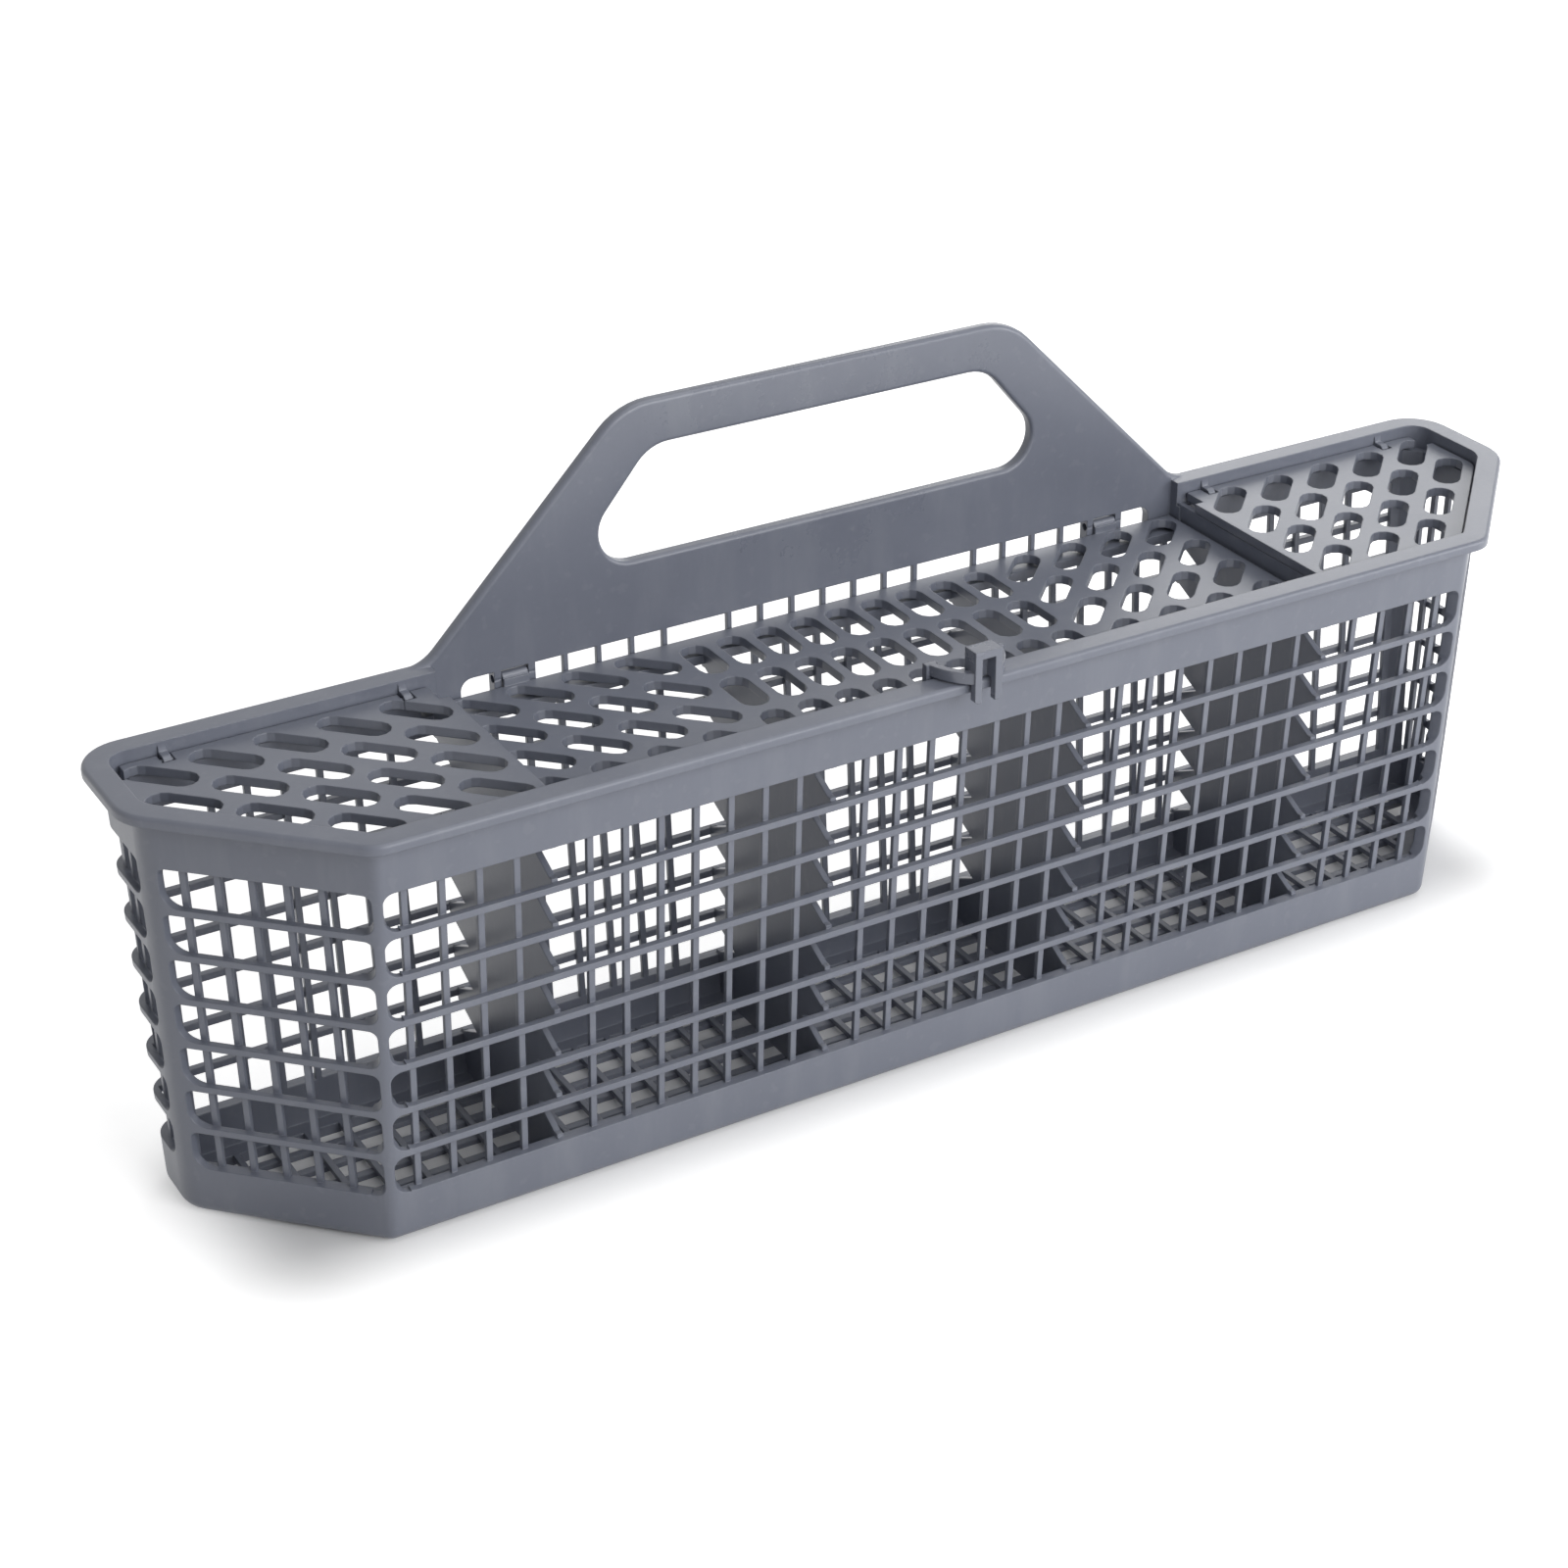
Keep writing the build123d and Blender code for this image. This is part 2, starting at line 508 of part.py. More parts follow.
# Basket: tub, rim, handle and its foot block joined, then the inside, seats, fittings and windows
with BuildPart() as basket:
    with BuildSketch():
        add(wall_outside(0))
    with BuildSketch(Plane.XY.offset(RIM_TOP)):
        add(wall_outside(RIM_TOP))
    loft(ruled=True)
    fillet(basket.edges().group_by(Axis.Z)[0], BASE_RADIUS)
    add(grooves.part, mode=Mode.SUBTRACT)
    add(rim.part)
    add(handle.part)
    block_front = wall_limits(CENTRE_LEDGE, WALL)[2]
    block_bottom = CENTRE_LEDGE - SHELF_THICKNESS
    with Locations((0, block_front, block_bottom)):
        Box(
            BACK_BLOCK,
            RIM_BACK - RIM_EDGE_RADIUS - block_front,
            RIM_TOP - RIM_EDGE_RADIUS - block_bottom,
            align=(Align.CENTER, Align.MIN, Align.MIN),
        )
    # Inside of the tub
    add(leaning_core(WALL, FLOOR_THICKNESS, END_LEDGE), mode=Mode.SUBTRACT)
    # Seats of the end lids and the deeper pocket of the centre lid
    with BuildSketch(Plane.XY.offset(END_LEDGE)):
        add(wall_outside(END_LEDGE, RAIL_LAYER))
    extrude(amount=RIM_TOP - END_LEDGE, mode=Mode.SUBTRACT)
    with Locations((0, centre_seat_front, CENTRE_LEDGE)):
        Box(
            2 * POCKET_HALF,
            HANDLE_FRONT - centre_seat_front,
            RIM_TOP - CENTRE_LEDGE,
            align=(Align.CENTER, Align.MIN, Align.MIN),
            mode=Mode.SUBTRACT,
        )
    # Window row under the handle, its bars set in from the back
    with BuildSketch(plate_plane) as window_row:
        with Locations((0, window_middle)):
            Rectangle(WINDOW_ROW, WINDOW_HEIGHT)
        fillet(window_row.vertices().group_by(Axis.Y)[-1], WINDOW_CORNER_RADIUS)
    extrude(amount=HANDLE_THICKNESS - WINDOW_BAR_DEPTH, mode=Mode.SUBTRACT)
    with BuildSketch(plate_plane):
        add(window_row.sketch_local)
        left_out = (INNER_DIVIDER_BARS, KNUCKLE_BAR, KNUCKLE_BAR + 1)
        bars = [bar for bar in range(-window_bar_count, window_bar_count + 1) if abs(bar) not in left_out]
        with Locations([(bar * BAR_PITCH, window_middle) for bar in bars]):
            Rectangle(WINDOW_BAR_WIDTH, WINDOW_HEIGHT, mode=Mode.SUBTRACT)
        with Locations((-DRAIN_SPACING / 2, window_middle), (DRAIN_SPACING / 2, window_middle)):
            SlotOverall(DRAIN_LENGTH, DRAIN_HEIGHT)
    extrude(amount=RIM_BACK - block_front, mode=Mode.SUBTRACT)
    add(fittings.part)
    # Floor grille: long rails in the lower half, cross bars in the upper half
    with BuildSketch():
        add(floor_field())
        with Locations((0, (floor_front + floor_back) / 2)):
            with GridLocations(0, FLOOR_RAIL_PITCH, 1, floor_rails):
                Rectangle(RIM_LENGTH, FLOOR_RAIL_WIDTH, mode=Mode.SUBTRACT)
    extrude(amount=FLOOR_THICKNESS / 2, mode=Mode.SUBTRACT)
    with BuildSketch(Plane.XY.offset(FLOOR_THICKNESS / 2)):
        add(floor_field())
        with GridLocations(BAR_PITCH, 0, floor_bars, 1):
            Rectangle(BAR_WIDTH, 2 * RIM_DEPTH, mode=Mode.SUBTRACT)
    extrude(amount=FLOOR_THICKNESS / 2, mode=Mode.SUBTRACT)
    # Windows between the upright bars, cut from inside so that the rails stay whole
    add(wall_windows, clean=False, mode=Mode.SUBTRACT)

# Right lid: the wall's outline less its gap, with slanted slots and two hinge notches
with BuildPart() as right_lid:
    lid_half, lid_front, lid_back, lid_leg = wall_limits(END_LEDGE, RAIL_LAYER + LID_GAP)
    first_row = lid_back - END_SLOT_BACK
    notch_front = hook_y - HOOK_RADIUS - HOOK_NOTCH_FRONT
    notch_width = HOOK_WIDTH + 2 * HOOK_NOTCH_SIDE
    with BuildSketch(Plane.XY.offset(END_LID_BOTTOM)):
        add(wall_outside(END_LEDGE, RAIL_LAYER + LID_GAP))
        with Locations((SEAM, 0)):
            Rectangle(RIM_LENGTH, 2 * RIM_DEPTH, align=(Align.MAX, Align.CENTER), mode=Mode.SUBTRACT)
        with Locations((SEAM, lid_back), (lid_half, lid_back)):
            Rectangle(2 * BACK_NOTCH_WIDTH, 2 * BACK_NOTCH_LENGTH, mode=Mode.SUBTRACT)
        for row, count in enumerate(END_SLOT_ROWS):
            row_y = first_row - row * END_SLOT_ROW_PITCH
            first_x = SEAM + END_SLOT_INSET
            with Locations([(first_x + column * END_SLOT_COLUMN_PITCH, row_y) for column in range(count)]):
                slot(END_SLOT_SPAN, END_SLOT_WIDTH, 45)
        with Locations((HOOK_INNER, notch_front), (HOOK_OUTER, notch_front)):
            Rectangle(
                notch_width,
                HOOK_REACH + 2 * HOOK_RADIUS,
                align=(Align.CENTER, Align.MIN),
                mode=Mode.SUBTRACT,
            )
    extrude(amount=LID_THICKNESS)
    for place in (HOOK_INNER, HOOK_OUTER):
        with BuildSketch(Plane.YZ.offset(place - notch_width / 2 - LAYER_BITE)):
            with Locations((hook_y, hook_z)):
                Circle(PIN_DIAMETER / 2)
        extrude(amount=notch_width + 2 * LAYER_BITE)

with BuildPart() as left_lid:
    add(mirror(right_lid.part, about=Plane.YZ, mode=Mode.PRIVATE))

# Centre lid: three fields of slots, two hinge barrels at the back and the latch at the front
with BuildPart() as centre_lid:
    plate_front = centre_seat_front + LID_GAP
    plate_back = HANDLE_FRONT - LID_GAP
    side_row = plate_back - SIDE_SLOT_BACK
    middle_row = plate_back - MIDDLE_SLOT_BACK - (MIDDLE_SLOT_ROWS - 1) / 2 * MIDDLE_SLOT_ROW_PITCH
    with BuildSketch(Plane.XY.offset(CENTRE_LID_BOTTOM)):
        with Locations((0, plate_front)):
            Rectangle(
                2 * (POCKET_HALF - LID_GAP), plate_back - plate_front, align=(Align.CENTER, Align.MIN)
            )
        with Locations((0, middle_row)):
            with GridLocations(
                MIDDLE_SLOT_COLUMN_PITCH, MIDDLE_SLOT_ROW_PITCH, MIDDLE_SLOT_COLUMNS, MIDDLE_SLOT_ROWS
            ):
                slot(MIDDLE_SLOT_LENGTH - MIDDLE_SLOT_WIDTH, MIDDLE_SLOT_WIDTH, 90)
        for side in (1, -1):
            for row in range(SIDE_SLOT_ROWS):
                row_y = side_row - row * SIDE_SLOT_ROW_PITCH
                steps = [column * SIDE_SLOT_COLUMN_PITCH for column in range(SIDE_SLOT_COLUMNS)]
                with Locations([(side * (SIDE_SLOT_START + step), row_y) for step in steps]):
                    slot(SIDE_SLOT_SPAN, SIDE_SLOT_WIDTH, side * 45)
    extrude(amount=LID_THICKNESS)
    # Hinge barrels on short arms
    barrel_length = BAR_PITCH - CHEEK_WIDTH - 2 * KNUCKLE_SIDE
    for side in (1, -1):
        with BuildSketch(Plane.YZ.offset(side * knuckle_x - barrel_length / 2)):
            with Locations((knuckle_y, knuckle_z)):
                Circle(KNUCKLE_DIAMETER / 2)
            with Locations((plate_back - LAYER_BITE, CENTRE_LID_BOTTOM)):
                Rectangle(ARM_THICKNESS, knuckle_z - CENTRE_LID_BOTTOM, align=(Align.MIN, Align.MIN))
        extrude(amount=barrel_length)
        peg_reach = barrel_length + 2 * PEG_LENGTH
        with BuildSketch(Plane.YZ.offset(side * knuckle_x - peg_reach / 2)):
            with Locations((knuckle_y, knuckle_z)):
                Circle(PEG_DIAMETER / 2)
        extrude(amount=peg_reach)
    # Latch
    arm_bottom = RIM_TOP + LATCH_ARM_LIFT
    arm_top = arm_bottom + LATCH_ARM_HEIGHT
    post_back = RIM_FRONT - LATCH_GAP
    post_middle = post_back - LATCH_THICKNESS / 2
    prong_x = LATCH_WIDTH / 2 - LATCH_PRONG / 2
    riser_y = plate_front + LATCH_ARM_WIDTH / 2
    with Locations([(side * LATCH_ARM_SPREAD, plate_front, CENTRE_LID_BOTTOM) for side in (1, -1)]):
        Box(
            RISER_LENGTH,
            LATCH_ARM_WIDTH,
            arm_top - CENTRE_LID_BOTTOM,
            align=(Align.CENTER, Align.MIN, Align.MIN),
        )
    with BuildSketch(Plane.XY.offset(arm_bottom)):
        for side in (1, -1):
            with BuildLine():
                RadiusArc(
                    (side * LATCH_ARM_SPREAD, riser_y),
                    (side * prong_x, post_middle),
                    side * LATCH_ARM_BOW,
                )
            trace(line_width=LATCH_ARM_WIDTH)
    extrude(amount=LATCH_ARM_HEIGHT)
    with BuildSketch(Plane.XZ.offset(-post_back)) as fork:
        with Locations((0, LATCH_BOTTOM)):
            Rectangle(LATCH_WIDTH, LATCH_TOP - LATCH_BOTTOM, align=(Align.CENTER, Align.MIN))
            Rectangle(
                LATCH_WIDTH - 2 * LATCH_PRONG,
                LATCH_TOP - LATCH_CAP - LATCH_BOTTOM,
                align=(Align.CENTER, Align.MIN),
                mode=Mode.SUBTRACT,
            )
        prong_ends = fork.vertices().group_by(Axis.Y)[0].sort_by(Axis.X)
        chamfer([prong_ends[0], prong_ends[-1]], LATCH_PRONG_TAPER)
    extrude(amount=LATCH_THICKNESS)
    with BuildSketch(Plane.XY.offset(arm_bottom)):
        with Locations((0, post_back - LATCH_THICKNESS)):
            Rectangle(LATCH_WIDTH, LATCH_DEPTH, align=(Align.CENTER, Align.MIN))
            Rectangle(
                LATCH_WIDTH - 2 * LATCH_PRONG,
                LATCH_DEPTH - LATCH_BACK,
                align=(Align.CENTER, Align.MIN),
                mode=Mode.SUBTRACT,
            )
    extrude(amount=LATCH_TOP - arm_bottom)
    with Locations((0, post_back - LATCH_THICKNESS, LATCH_TOP)):
        Box(LATCH_WIDTH, LATCH_DEPTH, LATCH_CAP, align=(Align.CENTER, Align.MIN, Align.MAX))

os.makedirs("parts", exist_ok=True)
pieces = {"basket": basket, "left_lid": left_lid, "centre_lid": centre_lid, "right_lid": right_lid}
for name, piece in pieces.items():
    piece.part.label = name
    export_step(piece.part, f"parts/{name}.step")
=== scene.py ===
from math import cos, radians, sin, tan

import bpy
from mathutils import Matrix, Vector


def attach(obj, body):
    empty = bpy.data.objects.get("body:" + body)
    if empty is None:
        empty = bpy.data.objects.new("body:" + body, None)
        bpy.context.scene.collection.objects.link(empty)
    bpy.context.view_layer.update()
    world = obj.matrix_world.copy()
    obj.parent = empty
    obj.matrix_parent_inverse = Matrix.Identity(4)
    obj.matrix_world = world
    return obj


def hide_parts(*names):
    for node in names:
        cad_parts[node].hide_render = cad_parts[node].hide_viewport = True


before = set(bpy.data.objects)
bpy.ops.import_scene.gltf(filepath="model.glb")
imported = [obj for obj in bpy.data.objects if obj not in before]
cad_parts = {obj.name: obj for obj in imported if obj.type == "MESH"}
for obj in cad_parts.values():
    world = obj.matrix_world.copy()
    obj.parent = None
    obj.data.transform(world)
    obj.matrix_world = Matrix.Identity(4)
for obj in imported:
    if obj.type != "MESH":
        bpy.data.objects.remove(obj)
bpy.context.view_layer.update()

# Grey polypropylene: colours, and how grain, haze and polish change its gloss
BASKET_DARK = (0.146, 0.158, 0.198)
BASKET_LIGHT = (0.176, 0.190, 0.236)
BASKET_HAZE = (0.29, 0.305, 0.34)
LID_DARK = (0.146, 0.158, 0.197)
LID_LIGHT = (0.176, 0.190, 0.235)
LID_HAZE = (0.285, 0.30, 0.335)
SATIN = 0.36
SATIN_SPREAD = 0.04
HAZE_DULLING = 0.2
POLISH_GLOSS = 0.1
FLOW_SHARE = 0.65
GRAIN_STRENGTH = 0.18
GRAIN_DEPTH = 0.0002
EDGE_ROUND = 0.0006
EDGE_SAMPLES = 6

# Where hands hold the handle and lift the middle lid, in metres
GRIP_CENTRE = (0, 0.048, 0.205)
GRIP_REACH = 0.11
LATCH_CENTRE = (0, -0.045, 0.15)
LATCH_REACH = 0.05

# Front wall and cut corners, in metres: they lean out, and the corners draw in towards the rim
RIM_TOP = 0.142
FRONT_AT_RIM = -0.04165
FRONT_LEAN = 0.0079
FRONT_SLOPE = FRONT_LEAN / RIM_TOP
CHAMFER_LEAN = 0.004455
CHAMFER_SLOPE = CHAMFER_LEAN / RIM_TOP
CHAMFER_TURN = radians(45)
CORNER_AT_RIM = 0.1942218
CORNER_SPREAD = 0.0016

# Rows of the lattice, lowest first, in metres: corner radii are the lower one, then the upper one
ROW_COUNT = 7
ROW_PITCH = 0.0153
ROW_HEIGHT = 0.0131
FIRST_ROW = 0.02405
CLOSED_ROW = 3
ROW_RADII = (0.0055, 0.0025)
CORNER_SEGMENTS = 8

# Front posts, in metres: their sides run along the line that halves the corner
POST_SLANT = tan(CHAMFER_TURN / 2)
SOLID_POST = 0.0048
SLIM_POST = 0.003
FRONT_RADII = (0.005, 0.0032)
CHAMFER_RADII = (0.0035, 0.0025)

# Where the cuts beside the posts end, in the open windows: metres from the corner
FRONT_FAR = 0.0065
CHAMFER_FAR = 0.0066
CHAMFER_FAR_SLOPE = 0.0475

# Depth of the cuts through the rails alone and through rails and bars, in metres
RAIL_CUT = 0.00222
WALL_CUT = 0.0043
CUT_CLEAR = 0.001
ROW_SKIN = 0.00002
MERGE_DISTANCE = 0.000001
SMOOTH_ANGLE = radians(30)

# Floor and its glow, which fades out under the basket to paint its shadow there, in metres
FLOOR_SIZE = 12
FLOOR_COLOUR = (0.84, 0.84, 0.84, 1)
FLOOR_GLOW = 0.68
FLOOR_FAR = 0.9
SHADOW_HALF_LENGTH = 0.215
SHADOW_HALF_DEPTH = 0.02
SHADOW_FADE = 0.045

ROOM_LIGHT = 0.2
WHITE = (1, 1, 1, 1)

# Camera of the photograph: metres, degrees and millimetres
CAMERA_PLACE = (-0.46395, -0.73507, 0.56043)
CAMERA_AZIMUTH = -29.88
CAMERA_ELEVATION = 28.71
CAMERA_ROLL = -0.52
CAMERA_LENS = 71.39
CAMERA_SENSOR = 36


# Node helpers

def link(tree, start, end):
    tree.links.new(start, end)


def math_node(tree, operation, first, second=0):
    node = tree.nodes.new("ShaderNodeMath")
    node.operation = operation
    for socket, value in zip(node.inputs, (first, second)):
        if isinstance(value, (int, float)):
            socket.default_value = value
        else:
            link(tree, value, socket)
    return node.outputs[0]


def noise_node(tree, vector, scale, detail, roughness=0.5):
    node = tree.nodes.new("ShaderNodeTexNoise")
    node.inputs["Scale"].default_value = scale
    node.inputs["Detail"].default_value = detail
    node.inputs["Roughness"].default_value = roughness
    link(tree, vector, node.inputs["Vector"])
    return node.outputs["Fac"]


def range_node(tree, value, start, result):
    node = tree.nodes.new("ShaderNodeMapRange")
    node.interpolation_type = "SMOOTHSTEP"
    link(tree, value, node.inputs["Value"])
    for name, number in zip(("From Min", "From Max", "To Min", "To Max"), (*start, *result)):
        node.inputs[name].default_value = number
    return node.outputs["Result"]


def mix_colour(tree, share, first, second):
    node = tree.nodes.new("ShaderNodeMix")
    node.data_type = "RGBA"
    link(tree, share, node.inputs["Factor"])
    colours = [socket for socket in node.inputs if socket.type == "RGBA"]
    for socket, value in zip(colours, (first, second)):
        if isinstance(value, tuple):
            socket.default_value = (*value, 1)
        else:
            link(tree, value, socket)
    return next(socket for socket in node.outputs if socket.type == "RGBA")


def new_group(name, inputs, outputs):
    group = bpy.data.node_groups.new(name, "ShaderNodeTree")
    for label, kind, value in inputs:
        socket = group.interface.new_socket(label, in_out="INPUT", socket_type=kind)
        if value is not None:
            socket.default_value = value
    for label, kind in outputs:
        group.interface.new_socket(label, in_out="OUTPUT", socket_type=kind)
    return group, group.nodes.new("NodeGroupInput"), group.nodes.new("NodeGroupOutput")


def place_group(tree, group, vector, values):
    node = tree.nodes.new("ShaderNodeGroup")
    node.node_tree = group
    link(tree, vector, node.inputs["Vector"])
    for name, value in values.items():
        node.inputs[name].default_value = value
    return node.outputs


# Fine spark-eroded mould grain, with slow flow marks in the plastic
def mould_grain_group():
    group, start, end = new_group(
        "mould_grain",
        [("Vector", "NodeSocketVector", None), ("Flow", "NodeSocketFloat", 0.5)],
        [("Height", "NodeSocketFloat"), ("Mottle", "NodeSocketFloat")],
    )
    place = start.outputs["Vector"]
    fine = noise_node(group, place, scale=2200, detail=2)
    coarse = noise_node(group, place, scale=520, detail=3, roughness=0.6)
    flow = noise_node(group, place, scale=9, detail=4, roughness=0.55)
    fine_share = math_node(group, "MULTIPLY", fine, 0.45)
    coarse_share = math_node(group, "MULTIPLY", coarse, 0.55)
    link(group, math_node(group, "ADD", fine_share, coarse_share), end.inputs["Height"])
    flow_share = math_node(group, "MULTIPLY", flow, start.outputs["Flow"])
    speckle = math_node(group, "MULTIPLY", coarse, 0.35)
    link(group, math_node(group, "ADD", flow_share, speckle), end.inputs["Mottle"])
    return group


# Thin haze that hard water leaves, in upright streaks and small spots
def water_haze_group():
    group, start, end = new_group(
        "water_haze",
        [("Vector", "NodeSocketVector", None), ("Amount", "NodeSocketFloat", 0.3)],
        [("Mask", "NodeSocketFloat")],
    )
    stretch = group.nodes.new("ShaderNodeMapping")
    stretch.inputs["Scale"].default_value = (1, 1, 0.22)
    link(group, start.outputs["Vector"], stretch.inputs["Vector"])
    streaks = noise_node(group, stretch.outputs["Vector"], scale=70, detail=4, roughness=0.6)
    drops = noise_node(group, start.outputs["Vector"], scale=240, detail=2)
    worn = range_node(group, streaks, (0.45, 0.75), (0, 1))
    spots = range_node(group, drops, (0.58, 0.7), (0, 0.6))
    both = math_node(group, "MAXIMUM", worn, spots)
    link(group, math_node(group, "MULTIPLY", both, start.outputs["Amount"]), end.inputs["Mask"])
    return group


# Patchy polish where hands hold it, fading away from a centre
def hand_polish_group():
    group, start, end = new_group(
        "hand_polish",
        [("Vector", "NodeSocketVector", None), ("Centre", "NodeSocketVector", (0, 0, 0)),
         ("Reach", "NodeSocketFloat", 0.05)],
        [("Mask", "NodeSocketFloat")],
    )
    distance = group.nodes.new("ShaderNodeVectorMath")
    distance.operation = "DISTANCE"
    link(group, start.outputs["Vector"], distance.inputs[0])
    link(group, start.outputs["Centre"], distance.inputs[1])
    share = math_node(group, "DIVIDE", distance.outputs["Value"], start.outputs["Reach"])
    near = range_node(group, share, (0.35, 1), (1, 0))
    patches = noise_node(group, start.outputs["Vector"], scale=60, detail=3)
    rubbed = range_node(group, patches, (0.3, 0.6), (0.3, 1))
    link(group, math_node(group, "MULTIPLY", near, rubbed), end.inputs["Mask"])
    return group


mould_grain = mould_grain_group()
water_haze = water_haze_group()
hand_polish = hand_polish_group()


# Satin polypropylene, its moulded edges slightly rounded
def satin_polypropylene(name, dark, light, haze, haze_amount, polish_centre, polish_reach):
    material = bpy.data.materials.new(name)
    material.use_nodes = True
    tree = material.node_tree
    shader = tree.nodes["Principled BSDF"]
    place = tree.nodes.new("ShaderNodeTexCoord").outputs["Object"]
    grain = place_group(tree, mould_grain, place, {"Flow": FLOW_SHARE})
    film = place_group(tree, water_haze, place, {"Amount": haze_amount})
    polish = place_group(tree, hand_polish, place, {"Centre": polish_centre, "Reach": polish_reach})

    body = mix_colour(tree, grain["Mottle"], dark, light)
    link(tree, mix_colour(tree, film["Mask"], body, haze), shader.inputs["Base Color"])

    rough = range_node(tree, grain["Mottle"], (0.3, 0.7), (SATIN - SATIN_SPREAD, SATIN + SATIN_SPREAD))
    filmed = math_node(tree, "ADD", rough, math_node(tree, "MULTIPLY", film["Mask"], HAZE_DULLING))
    polished = math_node(tree, "SUBTRACT", filmed, math_node(tree, "MULTIPLY", polish["Mask"], POLISH_GLOSS))
    link(tree, polished, shader.inputs["Roughness"])

    soft_edge = tree.nodes.new("ShaderNodeBevel")
    soft_edge.samples = EDGE_SAMPLES
    soft_edge.inputs["Radius"].default_value = EDGE_ROUND
    bump = tree.nodes.new("ShaderNodeBump")
    bump.inputs["Strength"].default_value = GRAIN_STRENGTH
    bump.inputs["Distance"].default_value = GRAIN_DEPTH
    link(tree, soft_edge.outputs["Normal"], bump.inputs["Normal"])
    link(tree, grain["Height"], bump.inputs["Height"])
    link(tree, bump.outputs["Normal"], shader.inputs["Normal"])

    shader.inputs["Specular IOR Level"].default_value = 0.6
    shader.inputs["IOR"].default_value = 1.5
    return material


basket_plastic = satin_polypropylene(
    "basket_plastic", BASKET_DARK, BASKET_LIGHT, BASKET_HAZE, haze_amount=0.2,
    polish_centre=GRIP_CENTRE, polish_reach=GRIP_REACH)
lid_plastic = satin_polypropylene(
    "lid_plastic", LID_DARK, LID_LIGHT, LID_HAZE, haze_amount=0.18,
    polish_centre=LATCH_CENTRE, polish_reach=LATCH_REACH)

for node, material in (("basket", basket_plastic), ("left_lid", lid_plastic), ("centre_lid", lid_plastic),
                       ("right_lid", lid_plastic)):
    cad_piece = bpy.data.objects[node]
    cad_piece.data.materials.clear()
    cad_piece.data.materials.append(material)


# Selection helpers

def only(piece):
    bpy.ops.object.select_all(action="DESELECT")
    piece.select_set(True)
    bpy.context.view_layer.objects.active = piece


def pick_vertices(piece, wanted):
    bpy.ops.mesh.select_mode(type="VERT")
    bpy.ops.mesh.select_all(action="DESELECT")
    bpy.ops.object.mode_set(mode="OBJECT")
    for vertex in piece.data.vertices:
        vertex.select = wanted(vertex.co)
    bpy.ops.object.mode_set(mode="EDIT")


def pick_edges(piece, wanted):
    bpy.ops.mesh.select_mode(type="EDGE")
    bpy.ops.mesh.select_all(action="DESELECT")
    bpy.ops.object.mode_set(mode="OBJECT")
    points = piece.data.vertices
    for edge in piece.data.edges:
        edge.select = wanted(points[edge.vertices[0]].co, points[edge.vertices[1]].co)
    bpy.ops.object.mode_set(mode="EDIT")


# Places of a row: its middle height, and the outer corner of wall and chamfer there
def row_middle(row):
    return FIRST_ROW + row * ROW_PITCH


def row_corner(row):
    drop = (RIM_TOP - row_middle(row)) / RIM_TOP
    return CORNER_AT_RIM + CORNER_SPREAD * drop, FRONT_AT_RIM + FRONT_LEAN * drop


# From the corner to a post's side, along the face of the wall
def post_side(width):
    return width / 2 / cos(CHAMFER_TURN / 2)


# Block in a wall's own frame, open to edit: along the wall, inwards from its face, up from the row's middle
def wall_block(near, far, deep, high):
    bpy.ops.object.select_all(action="DESELECT")
    bpy.ops.mesh.primitive_cube_add(size=1, location=((near + far) / 2, (deep - CUT_CLEAR) / 2, 0),
                                    scale=(far - near, deep + CUT_CLEAR, high))
    bpy.ops.object.transform_apply(location=True, rotation=True, scale=True)
    bpy.ops.object.mode_set(mode="EDIT")
    return bpy.context.object


# Top moved outwards and bottom inwards, so that the block leans with its wall
def lean_block(block, slope, high):
    for level in (1, -1):
        pick_vertices(block, lambda place: place.z * level > 0)
        bpy.ops.transform.translate(value=(0, -level * slope * high / 2, 0))


# Lower and upper corners rounded where the block meets a post
def round_block(block, radii, high, deep, at_post):
    for level, radius in zip((-1, 1), radii):
        pick_edges(block, lambda start, end: abs(start.y - end.y) > deep / 2
                   and start.z * level > high / 4 and at_post(start.x))
        bpy.ops.mesh.bevel(offset=radius, offset_type="OFFSET", segments=CORNER_SEGMENTS, profile=0.5,
                           affect="EDGES")


def place_block(block, place, turn):
    bpy.ops.object.mode_set(mode="OBJECT")
    block.location = place
    block.rotation_euler.z = turn
    only(block)
    bpy.ops.object.transform_apply(location=True, rotation=True, scale=True)


# Block that opens the rails' layer over the whole closed row, narrowing inwards between the posts
def row_block():
    corner_x, corner_y = row_corner(CLOSED_ROW)
    half_length = corner_x - post_side(SOLID_POST)
    outer_half = half_length + POST_SLANT * CUT_CLEAR
    inner_half = half_length - POST_SLANT * RAIL_CUT
    block = wall_block(-outer_half, outer_half, RAIL_CUT, ROW_HEIGHT)
    pick_vertices(block, lambda place: place.y > 0)
    bpy.ops.transform.resize(value=(inner_half / outer_half, 1, 1), center_override=(0, 0, 0))
    lean_block(block, FRONT_SLOPE, ROW_HEIGHT)
    round_block(block, ROW_RADII, ROW_HEIGHT, RAIL_CUT, lambda x: abs(x) > inner_half / 2)
    place_block(block, (0, corner_y, row_middle(CLOSED_ROW)), 0)
    return block


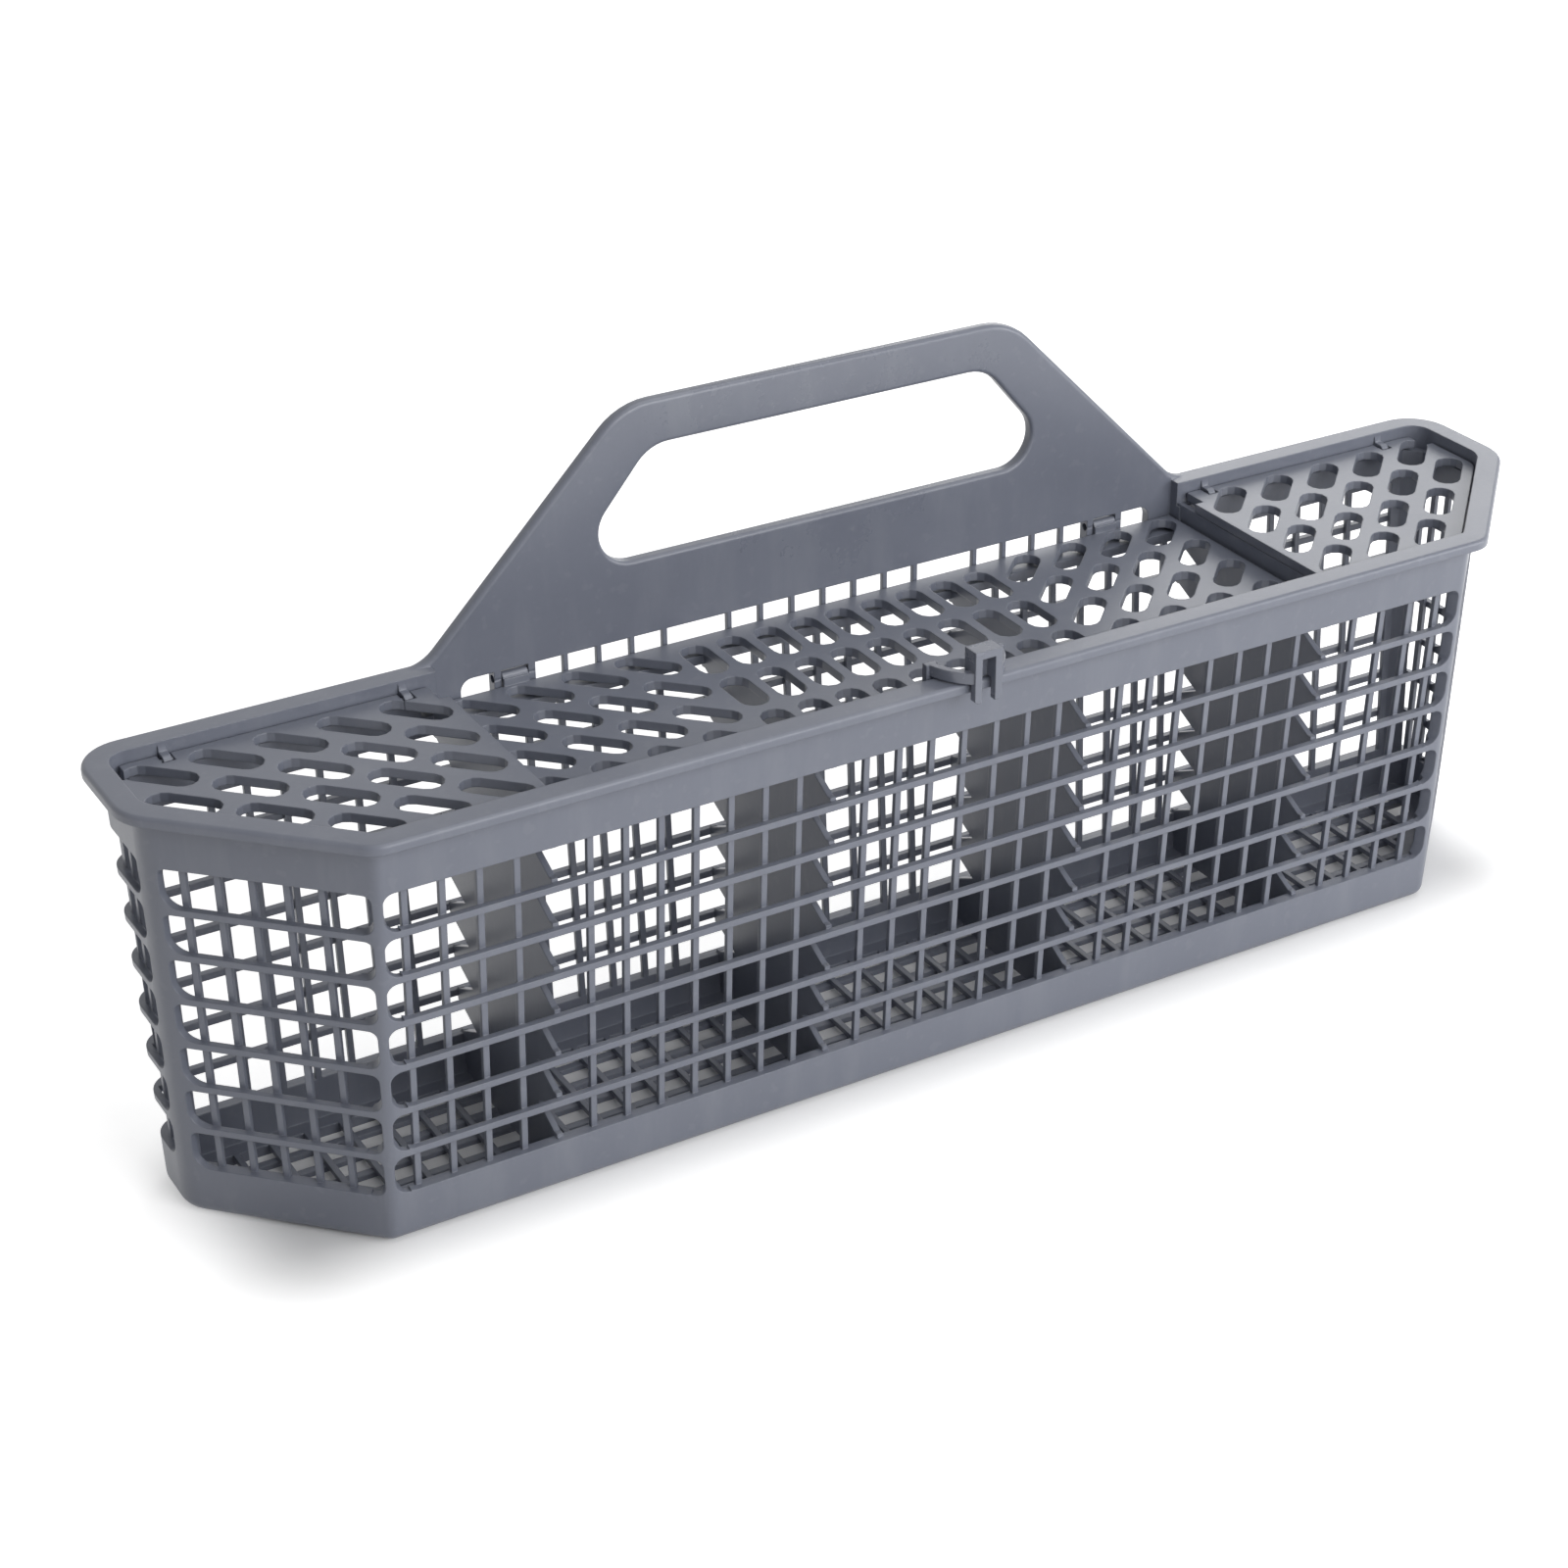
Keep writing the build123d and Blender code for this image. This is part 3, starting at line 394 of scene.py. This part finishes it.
# Block that opens one row beside a front post, through both layers
def post_block(far, slope, radii):
    outer_near = post_side(SLIM_POST) - POST_SLANT * CUT_CLEAR
    inner_near = post_side(SLIM_POST) + POST_SLANT * WALL_CUT
    middle = (outer_near + far) / 2
    high = ROW_HEIGHT - 2 * ROW_SKIN
    block = wall_block(outer_near, far, WALL_CUT, high)
    pick_vertices(block, lambda place: place.y > 0 and place.x < middle)
    bpy.ops.transform.translate(value=(inner_near - outer_near, 0, 0))
    lean_block(block, slope, high)
    round_block(block, radii, high, WALL_CUT, lambda x: x < middle)
    return block


# All blocks beside the two front posts: left ones of the front, right ones of the chamfer, and their mirror
def post_blocks():
    blocks = []
    for row in range(ROW_COUNT):
        middle = row_middle(row)
        corner_x, corner_y = row_corner(row)
        front_block = post_block(FRONT_FAR, FRONT_SLOPE, FRONT_RADII)
        place_block(front_block, (-corner_x, corner_y, middle), 0)
        chamfer_far = CHAMFER_FAR + CHAMFER_FAR_SLOPE * (middle - FIRST_ROW)
        chamfer_block = post_block(chamfer_far, CHAMFER_SLOPE, CHAMFER_RADII)
        place_block(chamfer_block, (corner_x, corner_y, middle), CHAMFER_TURN)
        blocks += [front_block, chamfer_block]
    only(blocks[0])
    for block in blocks:
        block.select_set(True)
    bpy.ops.object.join()
    bpy.ops.object.mode_set(mode="EDIT")
    bpy.ops.mesh.select_all(action="SELECT")
    bpy.ops.mesh.duplicate()
    bpy.ops.transform.resize(value=(-1, 1, 1), center_override=(0, 0, 0))
    bpy.ops.object.mode_set(mode="OBJECT")
    return blocks[0]


def cut_away(piece, block):
    only(block)
    bpy.ops.object.mode_set(mode="EDIT")
    bpy.ops.mesh.select_all(action="SELECT")
    bpy.ops.mesh.normals_make_consistent(inside=False)
    bpy.ops.object.mode_set(mode="OBJECT")
    only(piece)
    opening = piece.modifiers.new("opening", "BOOLEAN")
    opening.operation = "DIFFERENCE"
    opening.solver = "EXACT"
    opening.object = block
    bpy.ops.object.modifier_apply(modifier=opening.name)
    bpy.data.objects.remove(block)


# Basket moulding: the CAD shape, with the front wall's closed row opened and the front posts slimmed
def basket_moulding():
    moulding = bpy.data.objects.new("basket_moulding", bpy.data.objects["basket"].data.copy())
    bpy.context.collection.objects.link(moulding)
    only(moulding)
    bpy.ops.mesh.customdata_custom_splitnormals_clear()
    bpy.ops.object.mode_set(mode="EDIT")
    bpy.ops.mesh.select_all(action="SELECT")
    bpy.ops.mesh.remove_doubles(threshold=MERGE_DISTANCE)
    bpy.ops.object.mode_set(mode="OBJECT")
    cut_away(moulding, row_block())
    cut_away(moulding, post_blocks())
    bpy.ops.object.shade_smooth_by_angle(angle=SMOOTH_ANGLE)
    moulding.data.materials.clear()
    moulding.data.materials.append(basket_plastic)
    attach(moulding, "basket")
    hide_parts("basket")


basket_moulding()


# Mask of the rays that see the white background: camera, gloss and glass
def seen_rays(tree):
    path = tree.nodes.new("ShaderNodeLightPath").outputs
    glossy = math_node(tree, "MAXIMUM", path["Is Camera Ray"], path["Is Glossy Ray"])
    return math_node(tree, "MAXIMUM", glossy, path["Is Transmission Ray"])


# Glow of the floor: none under the basket, a painted shadow of its footprint there, and full far from the
# lamps
def floor_glow_with_painted_shadow(tree):
    split = tree.nodes.new("ShaderNodeSeparateXYZ")
    link(tree, tree.nodes.new("ShaderNodeTexCoord").outputs["Object"], split.inputs["Vector"])
    squares = []
    for axis, reach in (("X", SHADOW_HALF_LENGTH), ("Y", SHADOW_HALF_DEPTH)):
        beyond = math_node(tree, "SUBTRACT", math_node(tree, "ABSOLUTE", split.outputs[axis]), reach)
        outside = math_node(tree, "MAXIMUM", beyond, 0)
        squares.append(math_node(tree, "MULTIPLY", outside, outside))
    distance = math_node(tree, "SQRT", math_node(tree, "ADD", *squares))
    # Painted shadow: the glow is left out over the basket's footprint and fades in around it
    near = range_node(tree, distance, (0, SHADOW_FADE), (0, 1))
    far = range_node(tree, distance, (SHADOW_FADE, FLOOR_FAR), (FLOOR_GLOW, 1))
    return math_node(tree, "MULTIPLY", near, far)


# Pale floor, white to the camera, with a painted shadow under the basket
def pale_floor():
    bpy.ops.object.select_all(action="DESELECT")
    bpy.ops.mesh.primitive_plane_add(size=FLOOR_SIZE, location=(0, 0, 0))
    floor = bpy.context.object
    floor.name = "floor"
    material = bpy.data.materials.new("pale_floor")
    material.use_nodes = True
    tree = material.node_tree
    shader = tree.nodes["Principled BSDF"]
    shader.inputs["Base Color"].default_value = FLOOR_COLOUR
    shader.inputs["Roughness"].default_value = 0.9
    shader.inputs["Specular IOR Level"].default_value = 0.1
    shader.inputs["Emission Color"].default_value = WHITE
    glow = math_node(tree, "MULTIPLY", seen_rays(tree), floor_glow_with_painted_shadow(tree))
    link(tree, glow, shader.inputs["Emission Strength"])
    floor.data.materials.append(material)


pale_floor()


# Soft studio light: metres and watts
def soft_light(name, place, aim, size, power):
    lamp = bpy.data.lights.new(name, "AREA")
    lamp.size = size
    lamp.energy = power
    light = bpy.data.objects.new(name, lamp)
    light.location = place
    light.rotation_euler = (Vector(aim) - Vector(place)).to_track_quat("-Z", "Y").to_euler()
    bpy.context.collection.objects.link(light)


soft_light("key_light", place=(0.25, -1.25, 0.75), aim=(0, 0, 0.08), size=0.9, power=11)
soft_light("right_light", place=(1.05, -0.75, 0.5), aim=(0.15, 0, 0.08), size=0.7, power=6)
soft_light("top_light", place=(0.4, -0.2, 2.2), aim=(0, 0, 0.08), size=1.3, power=10)
soft_light("rear_light", place=(1.1, 1.0, 0.8), aim=(0.15, 0, 0.12), size=0.8, power=4)


# Dim even light from the room, which is white where it is seen
def studio_room():
    world = bpy.data.worlds.new("studio")
    world.use_nodes = True
    bpy.context.scene.world = world
    tree = world.node_tree
    sky = tree.nodes["Background"]
    sky.inputs["Color"].default_value = WHITE
    seen_sky = math_node(tree, "MULTIPLY", seen_rays(tree), 1 - ROOM_LIGHT)
    link(tree, math_node(tree, "ADD", seen_sky, ROOM_LIGHT), sky.inputs["Strength"])


studio_room()


# Camera at the photograph's place
def photo_camera():
    azimuth, elevation, roll = (radians(turn) for turn in (CAMERA_AZIMUTH, CAMERA_ELEVATION, CAMERA_ROLL))
    back = Vector((sin(azimuth) * cos(elevation), -cos(azimuth) * cos(elevation), sin(elevation)))
    right = Vector((cos(azimuth), sin(azimuth), 0))
    up = back.cross(right)
    across = right * cos(roll) + up * sin(roll)
    upward = up * cos(roll) - right * sin(roll)
    lens = bpy.data.cameras.new("camera")
    lens.sensor_width = CAMERA_SENSOR
    lens.lens = CAMERA_LENS
    camera = bpy.data.objects.new("camera", lens)
    turned = Matrix((across, upward, back)).transposed().to_4x4()
    camera.matrix_world = Matrix.Translation(CAMERA_PLACE) @ turned
    bpy.context.collection.objects.link(camera)
    bpy.context.scene.camera = camera


photo_camera()
bpy.context.scene.view_settings.view_transform = "Standard"
